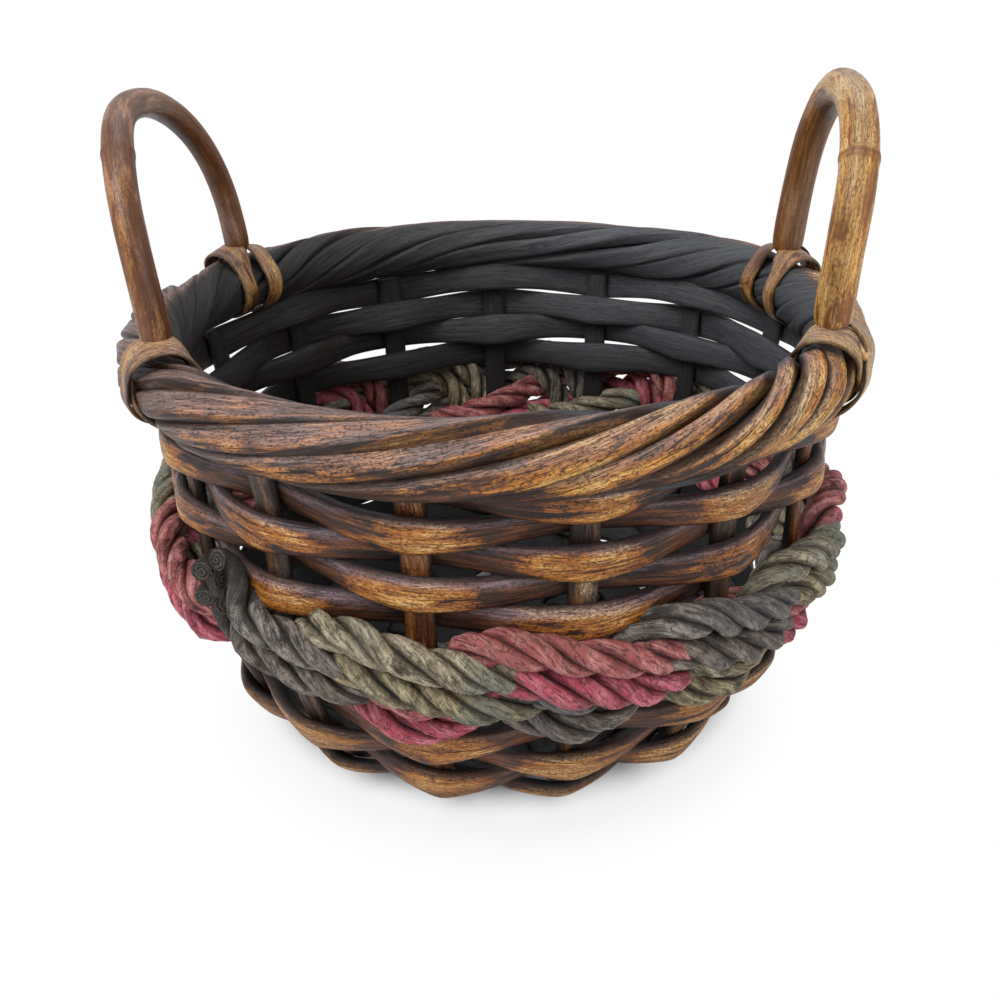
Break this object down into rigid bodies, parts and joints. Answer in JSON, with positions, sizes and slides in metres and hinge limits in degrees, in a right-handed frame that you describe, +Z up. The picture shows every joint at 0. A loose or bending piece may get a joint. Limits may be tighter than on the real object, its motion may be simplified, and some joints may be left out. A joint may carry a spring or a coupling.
{
  "type": "woven basket",
  "caption": "Round bellied basket of flat weavers on stakes, with a plaited cord band, a rolled border and two upright ear handles lashed to it, for holding and carrying light goods.",
  "frame": {"origin": "centre of the bounding box at the foot's underside, on the basket's axis", "axes": "+Z up along the basket's axis, handles on -X and +X, the pictured front on -Y"},
  "size_m": [0.2733, 0.274, 0.2489],
  "materials": {
    "stake_wood": "weathered cane, satin",
    "weaver_wood": "stained and varnished cane",
    "rim_wood": "stained and varnished cane",
    "handle_wood": "varnished cane, glossy",
    "lash_peel": "cane peel, satin",
    "floor_wood": "stained cane, matt",
    "hub_wood": "turned wood, matt",
    "crimson_paper": "laid cord, matt",
    "grey_paper": "laid cord, matt",
    "olive_paper": "laid cord, matt"
  },
  "bodies": {
    "root": {"foot_hoop": "floor_wood", "floor_hub": "hub_wood", "stake_01": "stake_wood", "stake_02": "stake_wood", "stake_03": "stake_wood", "stake_04": "stake_wood", "stake_05": "stake_wood", "stake_06": "stake_wood", "stake_07": "stake_wood", "stake_08": "stake_wood", "stake_09": "stake_wood", "stake_10": "stake_wood", "stake_11": "stake_wood", "stake_12": "stake_wood", "stake_13": "stake_wood", "stake_14": "stake_wood", "stake_15": "stake_wood", "floor_weaver_1": "floor_wood", "floor_weaver_2": "floor_wood", "weaver_lower_1": "weaver_wood", "weaver_lower_2": "weaver_wood", "weaver_lower_3": "weaver_wood", "weaver_upper_1": "weaver_wood", "weaver_upper_2": "weaver_wood", "weaver_upper_3": "weaver_wood", "weaver_upper_4": "weaver_wood", "cord_crimson_upper": "crimson_paper", "cord_crimson_lower": "crimson_paper", "cord_grey_upper": "grey_paper", "cord_grey_lower": "grey_paper", "cord_olive_upper": "olive_paper", "cord_olive_lower": "olive_paper", "border_hoop": "rim_wood", "border_cane_01": "rim_wood", "border_cane_02": "rim_wood", "border_cane_03": "rim_wood", "border_cane_04": "rim_wood", "border_cane_05": "rim_wood", "border_cane_06": "rim_wood", "border_cane_07": "rim_wood", "border_cane_08": "rim_wood", "border_cane_09": "rim_wood", "border_cane_10": "rim_wood", "border_cane_11": "rim_wood", "border_cane_12": "rim_wood", "border_cane_13": "rim_wood", "border_cane_14": "rim_wood", "border_cane_15": "rim_wood", "handle_right": "handle_wood", "handle_left": "handle_wood", "lashing_right_front": "lash_peel", "lashing_right_back": "lash_peel", "lashing_left_back": "lash_peel", "lashing_left_front": "lash_peel"}
  },
  "joints": []
}
